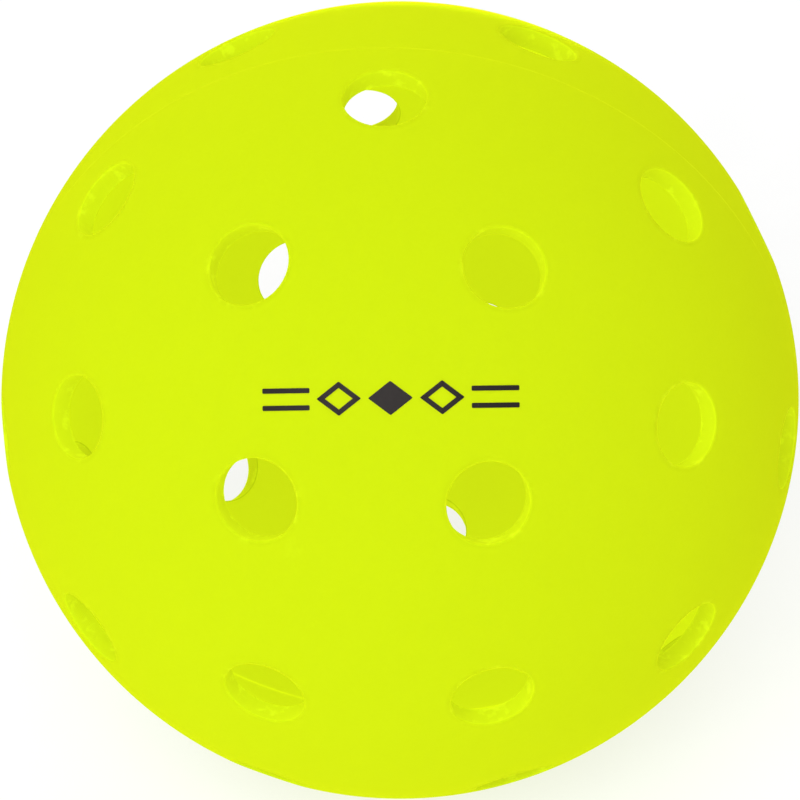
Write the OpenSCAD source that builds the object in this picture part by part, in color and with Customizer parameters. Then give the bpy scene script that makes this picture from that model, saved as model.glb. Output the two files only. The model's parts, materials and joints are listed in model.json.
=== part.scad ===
// Outdoor pickleball: two moulded half shells welded rim to rim, with drilled air holes and a
// pad-printed mark.
// The origin is the centre of the ball. The pole of the printed half points along -Y and the pole
// of the other half along +Y, so the rims meet in the XZ plane. +Z is up.

/* [Ball] */
// Outside diameter
ball_d = 74; // [73:0.1:75.4]
// Wall thickness
wall = 1.9; // [1.7:0.1:2.4]

/* [Air holes] */
// Diameter of each drilled hole
hole_d = 7.5; // [6:0.1:8]
// Angle from the pole to the inner ring of 4 holes, in degrees
inner_angle = 23; // [20:0.5:25]
// Angle from the pole to the middle ring of 8 holes, in degrees
middle_angle = 53; // [48:0.5:55]
// Angle from the pole to the outer ring of 8 holes, in degrees
outer_angle = 78; // [72:0.5:79]
// Turn of the rear half's holes against the front half's, in degrees
rear_turn = 21; // [0:0.5:45]

/* [Rim joint] */
// Thickness of the tongue on the rear rim
tongue_w = 0.7; // [0.5:0.05:0.8]
// Height of the tongue above the rear rim
tongue_h = 1; // [0.6:0.1:1.4]
// Height of the weld between the tongue and the bottom of the groove
weld_h = 0.4; // [0.2:0.05:0.6]

/* [Printed mark] */
// Length of the mark along X
mark_l = 22.4; // [18:0.2:24]
// Height of the mark
mark_h = 3; // [2.2:0.1:3.4]
// Tilt of the mark's middle above the pole, in degrees
mark_tilt = 31.5; // [28:0.5:34]
// Turn of the mark's middle about Z, in degrees
mark_turn = 3; // [-4:0.5:4]
// Length of each diamond as a share of its height
diamond_ratio = 1.3; // [1:0.1:1.5]
// Thickness of the lines in the mark
line_w = 0.45; // [0.3:0.05:0.6]
// Gap between the pieces of the mark
mark_gap = 0.6; // [0.4:0.1:0.8]
// Thickness of the ink
ink_t = 0.02; // [0.01:0.01:0.05]

/* [Hidden] */

// Each ring of holes: angle from the pole, number of holes, place of the first hole round the pole
rings = [
    [inner_angle, 4, 45],
    [middle_angle, 8, 22.5],
    [outer_angle, 8, 0],
];
ball_r = ball_d / 2;
inner_r = ball_r - wall;
joint_r = ball_r - wall / 2;
groove_h = tongue_h + weld_h;
diamond_l = mark_h * diamond_ratio;
bar_l = (mark_l - 3 * diamond_l - 4 * mark_gap) / 2;
shell_colour = [0.85, 0.97, 0.06];
weld_colour = [0.81, 0.92, 0.06];
ink_colour = [0.13, 0.12, 0.11];
// How far a cutting shape runs past what it cuts
over = 1;
$fn = 180;

// A half shell with its pole along +Z and its rim in the XY plane
module half_shell() {
    difference() {
        sphere(r = ball_r);
        sphere(r = inner_r);
        translate([0, 0, -ball_r - over])
            cylinder(r = ball_r + over, h = ball_r + over);
    }
}

// The drills for one half: a cylinder along each hole's axis, from inside the ball to outside it
module hole_drills() {
    for (ring = rings, i = [0 : ring[1] - 1])
        rotate([0, 0, ring[2] + i * 360 / ring[1]])
            rotate([-ring[0], 0, 0])
                translate([0, 0, inner_r / 2])
                    cylinder(d = hole_d, h = ball_r, $fn = 64);
}

// A ring in the middle of the wall's thickness, standing on the XY plane
module rim_ring(width, height) {
    rotate_extrude()
        translate([joint_r - width / 2, 0])
            square([width, height]);
}

// Stands the pole's +Z axis along -Y, with the holes' zero place turned to +Z
module face_front() {
    rotate([90, 0, 0]) children();
}

// Stands the pole's +Z axis along +Y, with the holes' zero place turned to +Z
module face_rear() {
    rotate([-90, 0, 0]) rotate([0, 0, 180]) children();
}

module front_shell() {
    color(shell_colour)
        face_front()
            difference() {
                half_shell();
                hole_drills();
                rim_ring(tongue_w, groove_h);
            }
}

module rear_shell() {
    color(shell_colour)
        face_rear()
            union() {
                difference() {
                    half_shell();
                    rotate([0, 0, rear_turn]) hole_drills();
                }
                mirror([0, 0, 1]) rim_ring(tongue_w, tongue_h);
            }
}

// The plastic that melts between the tongue and the groove and sets again
module weld_ring() {
    color(weld_colour)
        face_front()
            translate([0, 0, tongue_h])
                rim_ring(tongue_w, weld_h);
}

// A solid diamond
module diamond(length, height) {
    polygon([[-length / 2, 0], [0, -height / 2], [length / 2, 0], [0, height / 2]]);
}

// A diamond's outline, as thick as the lines
module open_diamond() {
    inner = 1 - 2 * line_w * norm([diamond_l, mark_h]) / (diamond_l * mark_h);
    difference() {
        diamond(diamond_l, mark_h);
        diamond(diamond_l * inner, mark_h * inner);
    }
}

// The flat pattern: a solid diamond between two open ones, and a pair of lines at each end
module mark_pattern() {
    diamond(diamond_l, mark_h);
    for (side = [-1, 1]) {
        translate([side * (diamond_l + mark_gap), 0]) open_diamond();
        for (level = [-1, 1])
            translate([side * (mark_l - bar_l) / 2, level * mark_h / 4])
                square([bar_l, line_w], center = true);
    }
}

// A film of ink on the outside of the front half
module printed_mark() {
    color(ink_colour)
        intersection() {
            difference() {
                sphere(r = ball_r + ink_t);
                sphere(r = ball_r);
            }
            rotate([0, 0, mark_turn])
                rotate([90 - mark_tilt, 0, 0])
                    translate([0, 0, inner_r / 2])
                        linear_extrude(ball_r) mark_pattern();
        }
}

front_shell();
rear_shell();
weld_ring();
printed_mark();
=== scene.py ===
import json
import math

import bmesh
import bpy
import numpy as np
from bpy.props import FloatProperty, FloatVectorProperty, IntProperty, PointerProperty
from mathutils import Matrix, Vector


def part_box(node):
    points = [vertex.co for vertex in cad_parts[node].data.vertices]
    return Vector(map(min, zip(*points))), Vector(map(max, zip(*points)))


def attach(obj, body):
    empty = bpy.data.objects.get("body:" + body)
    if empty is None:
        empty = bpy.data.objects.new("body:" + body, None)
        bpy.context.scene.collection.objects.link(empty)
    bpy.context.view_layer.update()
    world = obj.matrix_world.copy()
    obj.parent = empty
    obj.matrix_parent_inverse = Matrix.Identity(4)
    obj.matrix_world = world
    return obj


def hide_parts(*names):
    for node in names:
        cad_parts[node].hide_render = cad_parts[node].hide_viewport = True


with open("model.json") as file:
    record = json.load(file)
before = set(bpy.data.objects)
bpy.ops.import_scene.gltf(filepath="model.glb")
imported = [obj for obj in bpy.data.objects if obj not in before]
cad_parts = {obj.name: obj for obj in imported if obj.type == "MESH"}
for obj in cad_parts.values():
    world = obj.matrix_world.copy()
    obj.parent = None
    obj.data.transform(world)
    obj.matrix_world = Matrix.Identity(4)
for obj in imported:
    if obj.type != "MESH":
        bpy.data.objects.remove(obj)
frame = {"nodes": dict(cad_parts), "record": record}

bl_info = {
    "name": "Perforated Ball",
    "version": (1, 0, 0),
    "blender": (4, 5, 0),
    "location": "3D View > Sidebar > Ball",
    "description": "Builds a hollow plastic ball with drilled air holes, its printed mark and its studio",
    "category": "Add Mesh",
}

MM = 0.001
FRONT = -1
REAR = 1
# Edges flatter than this are shaded smooth
SHARP_ANGLE = math.radians(40)
# Vertices closer than this are one
MERGE = 0.002 * MM
# How close to a cut a vertex may lie before it is moved onto the cut
SNAP = 0.1 * MM
# How far a hole's own zone reaches, as a share of the radius of its band
HOLE_ZONE = 1.5
# Steps in the rounding of an edge or corner
ROUND_STEPS = 4
# Cuts across each triangle of the mark, so that it follows the ball
MARK_CUTS = 7
# Distance between the fine lines that a drill leaves in a hole
DRILL_PITCH = 0.15 * MM
# Azimuth and elevation of each soft lamp
KEY_TURN = (math.radians(-7), math.radians(36))
TOP_TURN = (math.pi, math.radians(78))
BACK_TURN = (math.pi, math.radians(15))
# The narrow lamp behind the ball: its place and target in ball radii, its size and its spread
RIM_PLACE = Vector((0, 5.135, -0.56))
RIM_TARGET = Vector((0, 0.5135, 1.04))
RIM_SIZE = (0.16, 0.004)
RIM_SPREAD = math.radians(7)
# The floor's radius, and how far the camera sees
FLOOR_R = 6
FAR_CLIP = 100

# What the frame says: the ball's and the weld's boxes, and the hole that a hook goes through
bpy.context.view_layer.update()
WELD_LOW, WELD_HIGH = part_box("weld_ring")
HANG_HOLE = frame["record"]["mounts"][0]
HOLE_R = HANG_HOLE["dims"]["r_mm"] * MM
HOLE_FOOT = Vector(HANG_HOLE["pos_m"]).length - HANG_HOLE["dims"]["length_mm"] * MM / 2
OUTER_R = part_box("rear_shell")[1].x
INNER_R = math.hypot(HOLE_FOOT, HOLE_R)


# ---------------------------------------------------------------- what a user may change


class BallSizes(bpy.types.PropertyGroup):
    """Sizes of the two half shells."""

    outer_r: FloatProperty(
        name="Outer radius", description="Radius of the ball", default=OUTER_R, unit="LENGTH"
    )
    inner_r: FloatProperty(
        name="Inner radius", description="Radius of the hollow", default=INNER_R, unit="LENGTH"
    )
    hole_r: FloatProperty(
        name="Hole radius", description="Radius of an air hole", default=HOLE_R, unit="LENGTH"
    )
    hole_edge: FloatProperty(
        name="Hole edge", description="Rounding of a hole's edges", default=0.15 * MM, unit="LENGTH"
    )
    inner_angle: FloatProperty(
        name="Inner ring",
        description="Angle from the pole to the inner ring of holes",
        default=math.radians(23),
        subtype="ANGLE",
    )
    middle_angle: FloatProperty(
        name="Middle ring",
        description="Angle from the pole to the middle ring of holes",
        default=math.radians(53),
        subtype="ANGLE",
    )
    outer_angle: FloatProperty(
        name="Outer ring",
        description="Angle from the pole to the outer ring of holes",
        default=math.acos(-HANG_HOLE["axis"][1]),
        subtype="ANGLE",
    )
    rear_turn: FloatProperty(
        name="Rear turn",
        description="Turn of the rear half's holes against the front half's",
        default=math.radians(21),
        subtype="ANGLE",
    )
    hole_band: FloatProperty(
        name="Hole band",
        description="Width of the clean band of mesh round a hole",
        default=0.25 * MM,
        unit="LENGTH",
    )
    seam_edge: FloatProperty(
        name="Seam edge", description="Chamfer of each rim at the seam", default=0.015 * MM, unit="LENGTH"
    )
    fineness: IntProperty(
        name="Fineness", description="Subdivisions of the sphere that the shells are cut from", default=7
    )


class MarkSizes(bpy.types.PropertyGroup):
    """Sizes of the printed mark."""

    length: FloatProperty(
        name="Length", description="Length of the whole mark", default=22.4 * MM, unit="LENGTH"
    )
    height: FloatProperty(
        name="Height", description="Height of the diamonds", default=3 * MM, unit="LENGTH"
    )
    diamond_ratio: FloatProperty(
        name="Diamond ratio", description="Length of a diamond as a share of its height", default=1.3
    )
    line: FloatProperty(
        name="Line", description="Thickness of the lines", default=0.45 * MM, unit="LENGTH"
    )
    gap: FloatProperty(
        name="Gap", description="Gap between the pieces", default=0.6 * MM, unit="LENGTH"
    )
    corner: FloatProperty(
        name="Corner", description="Rounding of the corners", default=0.1 * MM, unit="LENGTH"
    )
    ink: FloatProperty(
        name="Ink", description="Thickness of the ink", default=0.02 * MM, unit="LENGTH"
    )
    tilt: FloatProperty(
        name="Tilt",
        description="Angle of the mark above the pole",
        default=math.radians(31.5),
        subtype="ANGLE",
    )
    turn: FloatProperty(
        name="Turn",
        description="Turn of the mark to the side",
        default=math.radians(3),
        subtype="ANGLE",
    )


class BallColours(bpy.types.PropertyGroup):
    """Colours of the plastic and the ink."""

    plastic: FloatVectorProperty(
        name="Plastic",
        description="Fluorescent yellow-green of the shells",
        default=(0.28, 0.41, 0.002),
        size=3,
        subtype="COLOR",
    )
    plastic_pale: FloatVectorProperty(
        name="Pale plastic",
        description="The plastic where it is bruised and scuffed",
        default=(0.43, 0.6, 0.01),
        size=3,
        subtype="COLOR",
    )
    # Painted glow: light the whole shell gives off with no lamp, standing in for the fluorescence and
    # evening out the shading.
    painted_glow: FloatVectorProperty(
        name="Dye",
        description="Light that the fluorescent dye gives back",
        default=(0.275, 0.265, 0.003),
        size=3,
        subtype="COLOR",
    )
    # Painted glow on the walls of the holes, brighter than outside, to lift their shade.
    painted_glow_bore: FloatVectorProperty(
        name="Dye in the holes",
        description="Light that the dye gives back on the walls of the holes",
        default=(0.365, 0.38, 0.005),
        size=3,
        subtype="COLOR",
    )
    # Painted glow in the hollow, brighter still, to lift the shade inside the ball.
    painted_glow_inside: FloatVectorProperty(
        name="Dye inside",
        description="Light that the dye gives back in the hollow, where it is trapped",
        default=(0.45, 0.47, 0.006),
        size=3,
        subtype="COLOR",
    )
    ink: FloatVectorProperty(
        name="Ink", description="The printed mark", default=(0.012, 0.009, 0.008), size=3, subtype="COLOR"
    )


class Studio(bpy.types.PropertyGroup):
    """Camera, floor and lights."""

    azimuth: FloatProperty(
        name="Azimuth",
        description="Camera's turn about Z",
        default=math.radians(4.5),
        subtype="ANGLE",
    )
    elevation: FloatProperty(
        name="Elevation",
        description="Camera's angle above level",
        default=math.radians(31.2),
        subtype="ANGLE",
    )
    roll: FloatProperty(
        name="Roll",
        description="Camera's turn about its own line",
        default=math.radians(1.6),
        subtype="ANGLE",
    )
    distance: FloatProperty(
        name="Distance", description="Camera to the ball's centre, in ball radii", default=15
    )
    fill: FloatProperty(
        name="Fill", description="Share of the frame's height that the ball fills", default=0.997
    )
    sky: FloatProperty(name="Sky", description="Strength of the even light all round", default=0.39)
    floor_glow: FloatProperty(name="Floor glow", description="Light given off by the floor", default=0.68)
    lamp_size: FloatProperty(
        name="Lamp size", description="Width of each soft lamp", default=0.9, unit="LENGTH"
    )
    lamp_distance: FloatProperty(
        name="Lamp distance", description="Soft lamp to the ball's centre", default=1.2, unit="LENGTH"
    )
    key_power: FloatProperty(
        name="Key", description="Power of the lamp in front, in watts", default=18.5
    )
    top_power: FloatProperty(
        name="Top", description="Power of the lamp overhead, in watts", default=2.4
    )
    back_power: FloatProperty(
        name="Back", description="Power of the lamp at the back, in watts", default=6.0
    )
    rim_power: FloatProperty(
        name="Rim", description="Power of the narrow lamp that lights the top edge, in watts", default=0.07
    )


# ---------------------------------------------------------------- shader maths


class Value:
    """A socket in a shader. Arithmetic on it adds Math nodes."""

    def __init__(self, shader, socket):
        self.shader = shader
        self.socket = socket

    def math(self, operation, first, second):
        return self.shader.node("Math", {"operation": operation}, {0: first, 1: second})

    def __add__(self, other):
        return self.math("ADD", self, other)

    def __radd__(self, other):
        return self.math("ADD", other, self)

    def __sub__(self, other):
        return self.math("SUBTRACT", self, other)

    def __rsub__(self, other):
        return self.math("SUBTRACT", other, self)

    def __mul__(self, other):
        return self.math("MULTIPLY", self, other)

    def __rmul__(self, other):
        return self.math("MULTIPLY", other, self)


class Shader:
    """A material made of nodes."""

    def __init__(self, name):
        self.material = bpy.data.materials.new(name)
        self.material.use_nodes = True
        self.tree = self.material.node_tree
        self.tree.nodes.clear()

    def node(self, kind, settings=None, inputs=None, output=0):
        """Adds a node, with its settings first and then its sockets' values or links."""
        made = self.tree.nodes.new("ShaderNode" + kind)
        for key, value in (settings or {}).items():
            if key == "stops":
                for element, (position, level) in zip(made.color_ramp.elements, value):
                    element.position = position
                    element.color = (level, level, level, 1)
            else:
                setattr(made, key, value)
        for key, value in (inputs or {}).items():
            if isinstance(value, Value):
                self.tree.links.new(value.socket, made.inputs[key])
            elif isinstance(value, (tuple, list)) and len(value) == 3 and made.inputs[key].type == "RGBA":
                made.inputs[key].default_value = (*value, 1)
            else:
                made.inputs[key].default_value = value
        return Value(self, made.outputs[output])

    def noise(self, scale, detail=2.0, roughness=0.5):
        """Noise over the piece, from 0 to 1."""
        place = self.node("TexCoord", output="Object")
        return self.node(
            "TexNoise", inputs={"Vector": place, "Scale": scale, "Detail": detail, "Roughness": roughness}
        )

    def ramp(self, value, low, high):
        """0 where the value is under low, 1 where it is over high."""
        return self.node("ValToRGB", {"stops": [(low, 0), (high, 1)]}, {"Fac": value})

    def attribute(self, name):
        """A number kept at each of the piece's vertices."""
        return self.node("Attribute", {"attribute_name": name}, output="Fac")

    def mix(self, factor, first, second):
        """A colour between two. Sockets 0, 6 and 7 are the node's factor and its two colours."""
        return self.node("Mix", {"data_type": "RGBA"}, {0: factor, 6: first, 7: second}, output=2)

    def scale(self, colour, factor):
        """A colour made brighter or darker."""
        return self.node("VectorMath", {"operation": "SCALE"}, {0: colour, "Scale": factor})

    def finish(self, inputs):
        """Adds the surface shader and the output, and gives back the material."""
        surface = self.node("BsdfPrincipled", inputs=inputs)
        out = self.tree.nodes.new("ShaderNodeOutputMaterial")
        self.tree.links.new(surface.socket, out.inputs["Surface"])
        return self.material


# ---------------------------------------------------------------- materials


def moulded_plastic(colours):
    """Satin fluorescent polyethylene: faint clouding, fine grain, pale hole edges and a few scuffs; the
    hole edges also carry painted shade, and the shell a painted glow that is stronger on the hole walls
    and strongest in the hollow.
    """
    s = Shader("moulded_plastic")
    cloud = s.noise(45, detail=3)
    grain = s.noise(2600, detail=2)
    scuffs = s.ramp(s.noise(230, detail=6, roughness=0.7), 0.66, 0.74)
    flecks = s.ramp(s.noise(700, detail=3, roughness=0.6), 0.56, 0.66)
    edge = s.attribute("edge_wear")
    bore = s.attribute("bore")
    drill_angle = s.attribute("bore_depth") * (math.tau / DRILL_PITCH)
    drill_lines = s.node("Math", {"operation": "SINE"}, {0: drill_angle})
    pale = 0.45 * edge * flecks + 0.12 * scuffs + 0.1 * grain
    tint = s.mix(pale, tuple(colours.plastic), tuple(colours.plastic_pale))
    # The hole edges are darkened here: painted shade that holds down the light gathering on the rounded
    # edges.
    shade = 0.97 + 0.03 * cloud - 0.12 * edge
    # Painted glow: the shell gives off light with no lamp, more on the hole walls and most in the hollow,
    # lifting their shade.
    glow = s.mix(bore, tuple(colours.painted_glow), tuple(colours.painted_glow_bore))
    relief = 0.5 * grain + 0.25 * scuffs + 0.12 * bore * drill_lines
    bump = s.node("Bump", inputs={"Strength": 0.35, "Distance": 0.02 * MM, "Height": relief})
    return s.finish(
        {
            "Base Color": s.scale(tint, shade),
            "Roughness": 0.36 + 0.12 * cloud + 0.1 * scuffs,
            "IOR": 1.5,
            "Specular IOR Level": 0.0,
            "Subsurface Weight": 1.0,
            "Subsurface Radius": (1.0, 1.0, 0.2),
            "Subsurface Scale": 0.8 * MM,
            "Emission Color": s.mix(s.attribute("inside"), glow, tuple(colours.painted_glow_inside)),
            "Emission Strength": 1.0,
            "Normal": bump,
        }
    )


def weld_plastic(colours):
    """The same plastic after it has melted and set: a little darker and rippled."""
    s = Shader("weld_plastic")
    ripple = s.noise(900, detail=3)
    base = s.mix(0.4 * ripple, tuple(0.9 * c for c in colours.plastic), tuple(colours.plastic))
    bump = s.node("Bump", inputs={"Strength": 0.5, "Distance": 0.05 * MM, "Height": ripple})
    return s.finish({"Base Color": base, "Roughness": 0.3 + 0.2 * ripple, "Normal": bump})


def pad_ink(colours):
    """Thin near-black ink with a soft grain, where a trace of the plastic shows through."""
    s = Shader("pad_ink")
    grain = s.noise(3000, detail=2)
    thin = s.ramp(s.noise(1500, detail=4, roughness=0.6), 0.68, 0.8)
    base = s.mix(0.12 * thin, tuple(colours.ink), tuple(colours.plastic))
    bump = s.node("Bump", inputs={"Strength": 0.3, "Distance": 0.01 * MM, "Height": grain})
    return s.finish(
        {
            "Base Color": base,
            "Roughness": 0.42 + 0.15 * grain,
            "Specular IOR Level": 0.1,
            "Normal": bump,
        }
    )


def paper_white(glow):
    """Plain pale studio paper."""
    s = Shader("studio_paper")
    tooth = s.noise(120, detail=2)
    return s.finish(
        {
            "Base Color": s.mix(tooth, (0.29, 0.29, 0.29), (0.31, 0.31, 0.31)),
            "Roughness": 0.9,
            "Specular IOR Level": 0.0,
            "Emission Color": (1.0, 1.0, 1.0),
            "Emission Strength": glow,
        }
    )


# ---------------------------------------------------------------- mesh helpers


def add_in_edit_mode(add, name, **settings):
    """Adds a primitive with nothing else selected and opens it in edit mode."""
    bpy.ops.object.select_all(action="DESELECT")
    add(**settings)
    piece = bpy.context.active_object
    piece.name = name
    piece.data.name = name
    bpy.ops.object.mode_set(mode="EDIT")
    return piece


def hole_axes(sizes, side, turn):
    """The directions of a half shell's holes from the ball's centre."""
    rings = (
        (sizes.inner_angle, 4, math.radians(45)),
        (sizes.middle_angle, 8, math.radians(22.5)),
        (sizes.outer_angle, 8, 0),
    )
    axes = []
    for angle, count, first in rings:
        for i in range(count):
            around = first + turn + i * math.tau / count
            axes.append(
                Vector((
                    math.sin(angle) * math.sin(around),
                    side * math.cos(angle),
                    math.sin(angle) * math.cos(around),
                ))
            )
    return axes


def band_radius(sizes):
    """The radius of a hole with its rounded edge and its band, on the inside of the ball."""
    return sizes.hole_r + sizes.hole_edge + sizes.hole_band


def hole_reach(sizes):
    """The cosine of the angle from a hole's axis within which everything belongs to that hole."""
    return math.cos(HOLE_ZONE * math.asin(band_radius(sizes) / sizes.inner_r))


def nearest_axis(place, axes):
    """The direction of the hole nearest to a place."""
    return max(axes, key=place.dot)


def on_ring(place, axis, radius, height):
    """The point on a circle round the axis, in the same direction as place."""
    out = place - axis * place.dot(axis)
    return axis * height + out.normalized() * radius


def height_at(ball_r, radius):
    """How far along a hole's axis a circle of that radius lies on the ball."""
    return math.sqrt(ball_r**2 - radius**2)


def is_open(edge):
    """Whether an edge has a face on one side only."""
    return len(edge.link_faces) == 1


def extrude_through(piece, chosen, profile, place_on):
    """Extrudes the open edges that chosen picks, once for each point of the profile."""
    mesh = bmesh.from_edit_mesh(piece.data)
    bpy.ops.mesh.select_all(action="DESELECT")
    for edge in mesh.edges:
        if is_open(edge) and chosen(edge):
            edge.select_set(True)
    bmesh.update_edit_mesh(piece.data)
    for point in profile:
        bpy.ops.mesh.extrude_edges_indiv()
        mesh = bmesh.from_edit_mesh(piece.data)
        for vert in mesh.verts:
            if vert.select:
                vert.co = place_on(vert.co, *point)
        bmesh.update_edit_mesh(piece.data)


def quarter_round():
    """The sine and cosine of each step round a quarter turn, leaving out the start."""
    turns = [i / ROUND_STEPS * math.pi / 2 for i in range(1, ROUND_STEPS + 1)]
    return [(math.sin(turn), math.cos(turn)) for turn in turns]


def hole_profile(sizes):
    """(radius, height) of each ring of a hole, from the outside of the ball to the inside."""
    edge = sizes.hole_edge
    lip = sizes.hole_r + edge
    top = height_at(sizes.outer_r, lip)
    foot = height_at(sizes.inner_r, lip)
    lip_round = [(lip - edge * sine, top - edge * (1 - cosine)) for sine, cosine in quarter_round()]
    middle = (sizes.hole_r, (top + foot) / 2)
    start = (sizes.hole_r, foot + edge)
    foot_round = [
        (sizes.hole_r + edge * (1 - cosine), foot + edge * (1 - sine)) for sine, cosine in quarter_round()
    ]
    band = band_radius(sizes)
    end = (band, height_at(sizes.inner_r, band))
    return [(lip, top), *lip_round, middle, start, *foot_round, end]


def rim_profile(sizes, side):
    """(radius, height above the seam) of each ring of a rim, from the ball's outside to its inside."""
    chamfer = sizes.seam_edge
    key_out = WELD_HIGH.x
    key_in = sizes.outer_r + sizes.inner_r - key_out
    depth = -WELD_LOW.y if side == FRONT else WELD_HIGH.y
    scale = sizes.inner_r / sizes.outer_r
    return [
        (sizes.outer_r - chamfer, 0),
        (key_out, 0),
        (key_out, depth),
        (key_in, depth),
        (key_in, 0),
        (sizes.inner_r, 0),
        (height_at(sizes.outer_r, chamfer) * scale, chamfer * scale),
    ]


def keep_numbers(piece, name, values):
    """Stores a number for each vertex, for the material to read."""
    made = piece.data.attributes.new(name, "FLOAT", "POINT")
    made.data.foreach_set("value", np.asarray(values, np.float32))


def keep_surface_numbers(piece, sizes, axes):
    """Stores, for each vertex of a shell, how near it is to a hole and whether it lies in the hollow."""
    places = np.array([vert.co for vert in piece.data.vertices])
    from_centre = np.linalg.norm(places, axis=1)
    depth = (places @ np.array(axes).T).max(axis=1)
    from_hole = np.sqrt(from_centre**2 - depth**2) - sizes.hole_r
    # The band along a hole's edge where the material lays pale wear flecks and painted shade.
    wear_and_painted_shade_width = 3 * sizes.hole_edge
    slack = 0.1 * sizes.hole_edge
    keep_numbers(piece, "edge_wear", np.clip(1 - from_hole / wear_and_painted_shade_width, 0, 1))
    keep_numbers(piece, "bore", from_hole < slack)
    keep_numbers(piece, "bore_depth", depth)
    keep_numbers(piece, "inside", from_centre < sizes.inner_r + MERGE)


def check_closed(piece):
    """Stops the script if a piece has an open or doubled edge."""
    mesh = bmesh.new()
    mesh.from_mesh(piece.data)
    bad = sum(1 for edge in mesh.edges if not edge.is_manifold)
    mesh.free()
    if bad:
        raise RuntimeError(f"{piece.name} has {bad} open edges")


# ---------------------------------------------------------------- pieces


def cut_sphere(piece, sizes, side, axes):
    """Cuts the sphere down to one half, with a round opening at each hole."""
    opening = band_radius(sizes) * sizes.outer_r / sizes.inner_r
    height = height_at(sizes.outer_r, opening)
    bpy.ops.mesh.select_all(action="SELECT")
    bpy.ops.mesh.bisect(
        plane_co=(0, side * sizes.seam_edge, 0), plane_no=(0, side, 0), clear_inner=True, threshold=SNAP
    )
    reach = hole_reach(sizes)
    for axis in axes:
        bpy.ops.mesh.select_all(action="DESELECT")
        mesh = bmesh.from_edit_mesh(piece.data)
        for face in mesh.faces:
            if face.calc_center_median().normalized().dot(axis) > reach:
                face.select_set(True)
        bmesh.update_edit_mesh(piece.data)
        bpy.ops.mesh.bisect(
            plane_co=axis * height, plane_no=axis, clear_outer=True, threshold=SNAP * opening / height
        )
    mesh = bmesh.from_edit_mesh(piece.data)
    open_verts = {vert for edge in mesh.edges if is_open(edge) for vert in edge.verts}
    for vert in open_verts:
        axis = nearest_axis(vert.co, axes)
        if vert.co.normalized().dot(axis) > reach:
            vert.co = on_ring(vert.co, axis, opening, height)
        else:
            vert.co = on_rim(vert.co, side, height_at(sizes.outer_r, sizes.seam_edge), sizes.seam_edge)
    bmesh.update_edit_mesh(piece.data)


def on_rim(place, side, radius, height):
    """The point on a circle round the pole axis, in the same direction as place."""
    out = Vector((place.x, 0, place.z)).normalized() * radius
    return Vector((out.x, side * height, out.z))


def half_shell(name, sizes, side, turn):
    """A half shell: the cut sphere, its inner face, and the walls of its holes and its rim."""
    piece = add_in_edit_mode(
        bpy.ops.mesh.primitive_ico_sphere_add, name, subdivisions=sizes.fineness, radius=sizes.outer_r
    )
    axes = hole_axes(sizes, side, turn)
    cut_sphere(piece, sizes, side, axes)

    scale = sizes.inner_r / sizes.outer_r
    bpy.ops.mesh.select_all(action="SELECT")
    bpy.ops.mesh.duplicate()
    bpy.ops.transform.resize(value=(scale, scale, scale), center_override=(0, 0, 0))
    bpy.ops.mesh.flip_normals()

    middle_r = (sizes.outer_r + sizes.inner_r) / 2
    reach = hole_reach(sizes)

    def is_outer(edge):
        return all(vert.co.length > middle_r for vert in edge.verts)

    def is_hole(edge):
        place = edge.verts[0].co
        return is_outer(edge) and place.normalized().dot(nearest_axis(place, axes)) > reach

    extrude_through(
        piece,
        is_hole,
        hole_profile(sizes),
        lambda place, radius, height: on_ring(place, nearest_axis(place, axes), radius, height),
    )
    extrude_through(
        piece,
        is_outer,
        rim_profile(sizes, side),
        lambda place, radius, height: on_rim(place, side, radius, height),
    )
    bpy.ops.mesh.select_all(action="SELECT")
    bpy.ops.mesh.remove_doubles(threshold=MERGE)
    bpy.ops.mesh.normals_make_consistent(inside=False)
    bpy.ops.object.mode_set(mode="OBJECT")
    bpy.ops.object.shade_smooth_by_angle(angle=SHARP_ANGLE)
    check_closed(piece)

    keep_surface_numbers(piece, sizes, axes)
    return piece


def mark_pieces(mark):
    """Draws the flat mark in edit mode: a solid diamond between two open ones, and lines at the ends."""
    diamond_l = mark.diamond_ratio * mark.height
    bar_l = (mark.length - 3 * diamond_l - 4 * mark.gap) / 2
    for step in (-1, 0, 1):
        place = (step * (diamond_l + mark.gap), 0, 0)
        bpy.ops.mesh.select_all(action="DESELECT")
        bpy.ops.mesh.primitive_circle_add(vertices=4, radius=0.5, fill_type="NGON", location=place)
        bpy.ops.transform.resize(value=(diamond_l, mark.height, 1), center_override=place)
        bpy.ops.mesh.bevel(offset=mark.corner, segments=ROUND_STEPS, affect="VERTICES")
        if step:
            bpy.ops.mesh.inset(thickness=mark.line)
            bpy.ops.mesh.delete(type="FACE")
    for side in (-1, 1):
        for level in (-1, 1):
            place = (side * (mark.length - bar_l) / 2, level * mark.height / 4, 0)
            bpy.ops.mesh.select_all(action="DESELECT")
            bpy.ops.mesh.primitive_plane_add(size=1, location=place)
            bpy.ops.transform.resize(value=(bar_l, mark.line, 1), center_override=place)
            bpy.ops.mesh.bevel(offset=mark.corner, segments=ROUND_STEPS, affect="VERTICES")


# ---------------------------------------------------------------- operators


class BALL_OT_half_shells(bpy.types.Operator):
    """Model the front and rear half shells with their air holes"""

    bl_idname = "ball.half_shells"
    bl_label = "Half Shells"

    def execute(self, context):
        sizes = context.scene.ball_sizes
        plastic = moulded_plastic(context.scene.ball_colours)
        for node, side, turn in (("front_shell", FRONT, 0), ("rear_shell", REAR, sizes.rear_turn)):
            piece = half_shell(node + "_moulding", sizes, side, turn)
            piece.data.materials.append(plastic)
            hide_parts(node)
            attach(piece, "root")
        return {"FINISHED"}


class BALL_OT_weld(bpy.types.Operator):
    """Give the ring of weld inside the rims its plastic"""

    bl_idname = "ball.weld"
    bl_label = "Weld"

    def execute(self, context):
        ring = frame["nodes"]["weld_ring"]
        ring.data.materials.clear()
        ring.data.materials.append(weld_plastic(context.scene.ball_colours))
        return {"FINISHED"}


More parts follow.
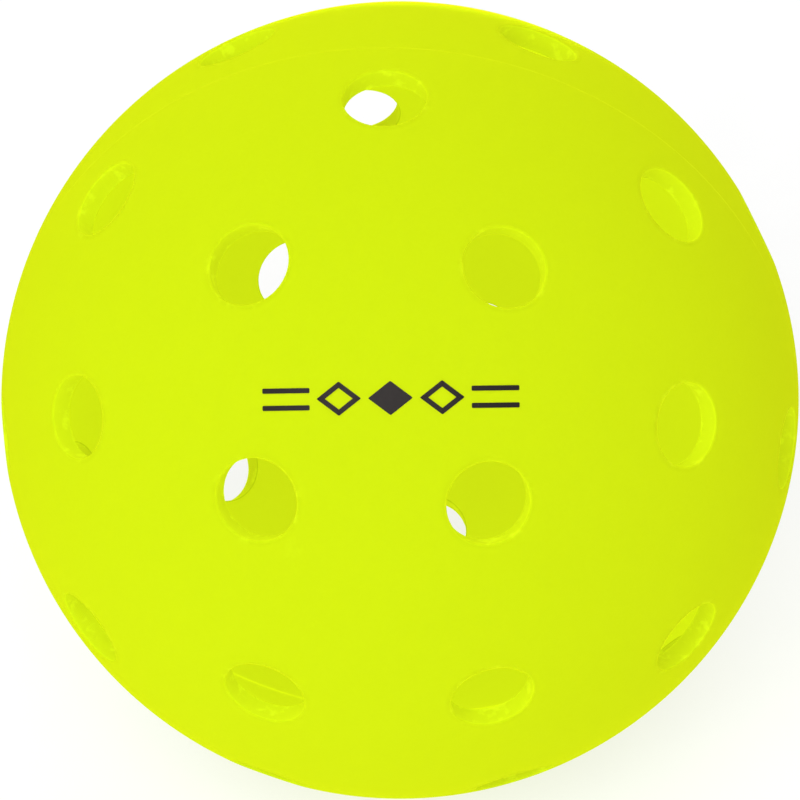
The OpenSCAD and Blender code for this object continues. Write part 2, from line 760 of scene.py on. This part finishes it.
class BALL_OT_printed_mark(bpy.types.Operator):
    """Print the plain mark on the front half"""

    bl_idname = "ball.printed_mark"
    bl_label = "Printed Mark"

    def execute(self, context):
        mark = context.scene.ball_mark
        sizes = context.scene.ball_sizes
        piece = add_in_edit_mode(bpy.ops.mesh.primitive_plane_add, "printed_mark_ink", size=mark.line)
        bpy.ops.mesh.delete(type="VERT")
        mark_pieces(mark)
        bpy.ops.mesh.select_all(action="SELECT")
        bpy.ops.mesh.quads_convert_to_tris()
        bpy.ops.mesh.subdivide(number_cuts=MARK_CUTS)
        mesh = bmesh.from_edit_mesh(piece.data)
        ink_r = sizes.outer_r + mark.ink
        stand = Matrix.Rotation(mark.turn, 3, "Z") @ Matrix.Rotation(math.pi / 2 - mark.tilt, 3, "X")
        for vert in mesh.verts:
            vert.co.z = math.sqrt(ink_r**2 - vert.co.x**2 - vert.co.y**2)
            vert.co = stand @ vert.co
        bmesh.update_edit_mesh(piece.data)
        bpy.ops.mesh.normals_make_consistent(inside=False)
        bpy.ops.object.mode_set(mode="OBJECT")
        film = piece.modifiers.new("film", "SOLIDIFY")
        film.thickness = mark.ink
        film.offset = -1
        bpy.ops.object.modifier_apply(modifier=film.name)
        bpy.ops.object.shade_smooth_by_angle(angle=SHARP_ANGLE)
        check_closed(piece)
        piece.data.materials.append(pad_ink(context.scene.ball_colours))
        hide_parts("printed_mark")
        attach(piece, "root")
        return {"FINISHED"}


def aim(thing, place, target=(0, 0, 0)):
    """Puts a light or camera at a place, looking at a target."""
    thing.location = place
    thing.rotation_mode = "QUATERNION"
    thing.rotation_quaternion = (Vector(target) - Vector(place)).to_track_quat("-Z", "Y")


def lamp(name, place, size, power, target=(0, 0, 0)):
    """A rectangular lamp that the camera doesn't see."""
    bpy.ops.object.select_all(action="DESELECT")
    bpy.ops.object.light_add(type="AREA")
    made = bpy.context.active_object
    made.name = name
    made.data.shape = "RECTANGLE"
    made.data.size, made.data.size_y = size
    made.data.energy = power
    made.visible_camera = False
    aim(made, place, target)
    return made


def direction(azimuth, elevation):
    """A direction from the ball's centre; azimuth 0 is the front."""
    level = math.cos(elevation)
    return Vector((level * math.sin(azimuth), -level * math.cos(azimuth), math.sin(elevation)))


class BALL_OT_stage(bpy.types.Operator):
    """Lay the pale floor and set the camera and lights"""

    bl_idname = "ball.stage"
    bl_label = "Stage"

    def execute(self, context):
        scene = context.scene
        studio = scene.ball_studio
        radius = scene.ball_sizes.outer_r

        floor = add_in_edit_mode(
            bpy.ops.mesh.primitive_circle_add,
            "studio_floor",
            vertices=96,
            radius=FLOOR_R,
            fill_type="TRIFAN",
            location=(0, 0, -radius),
        )
        bpy.ops.object.mode_set(mode="OBJECT")
        floor.data.materials.append(paper_white(studio.floor_glow))

        world = bpy.data.worlds.new("even_sky")
        world.use_nodes = True
        sky = world.node_tree.nodes["Background"]
        sky.inputs["Color"].default_value = (1, 1, 1, 1)
        sky.inputs["Strength"].default_value = studio.sky
        scene.world = world
        scene.view_settings.view_transform = "Standard"

        size = (studio.lamp_size, studio.lamp_size)
        for name, turn, power in (
            ("key_light", KEY_TURN, studio.key_power),
            ("top_light", TOP_TURN, studio.top_power),
            ("back_light", BACK_TURN, studio.back_power),
        ):
            lamp(name, direction(*turn) * studio.lamp_distance, size, power)
        rim = lamp("rim_light", RIM_PLACE * radius, RIM_SIZE, studio.rim_power, RIM_TARGET * radius)
        rim.data.spread = RIM_SPREAD
        rim.visible_glossy = False

        bpy.ops.object.camera_add()
        camera = context.active_object
        camera.name = "studio_camera"
        aim(camera, direction(studio.azimuth, studio.elevation) * studio.distance * radius)
        roll = Matrix.Rotation(-studio.roll, 3, "Z").to_quaternion()
        camera.rotation_quaternion = camera.rotation_quaternion @ roll
        half_frame = 1 / math.sqrt(studio.distance**2 - 1) / studio.fill
        camera.data.lens = camera.data.sensor_width / 2 / half_frame
        camera.data.clip_start = radius
        camera.data.clip_end = FAR_CLIP
        scene.camera = camera
        return {"FINISHED"}


class BALL_PT_panel(bpy.types.Panel):
    """Lists the steps that build the ball"""

    bl_idname = "BALL_PT_panel"
    bl_label = "Perforated Ball"
    bl_space_type = "VIEW_3D"
    bl_region_type = "UI"
    bl_category = "Ball"

    def draw(self, context):
        for step in STEPS:
            self.layout.operator(step.bl_idname)
        for group in SETTINGS:
            box = self.layout.box()
            for name in GROUPS[group].__annotations__:
                box.prop(getattr(context.scene, group), name)


STEPS = (BALL_OT_half_shells, BALL_OT_weld, BALL_OT_printed_mark, BALL_OT_stage)
GROUPS = {
    "ball_sizes": BallSizes,
    "ball_mark": MarkSizes,
    "ball_colours": BallColours,
    "ball_studio": Studio,
}
SETTINGS = tuple(GROUPS)


def register():
    for name, group in GROUPS.items():
        bpy.utils.register_class(group)
        setattr(bpy.types.Scene, name, PointerProperty(type=group))
    for made in (*STEPS, BALL_PT_panel):
        bpy.utils.register_class(made)


def unregister():
    for made in reversed((*STEPS, BALL_PT_panel)):
        bpy.utils.unregister_class(made)
    for name, group in reversed(GROUPS.items()):
        delattr(bpy.types.Scene, name)
        bpy.utils.unregister_class(group)


def main():
    """Builds everything."""
    register()
    bpy.ops.ball.half_shells()
    bpy.ops.ball.weld()
    bpy.ops.ball.printed_mark()
    bpy.ops.ball.stage()


if __name__ == "__main__":
    main()
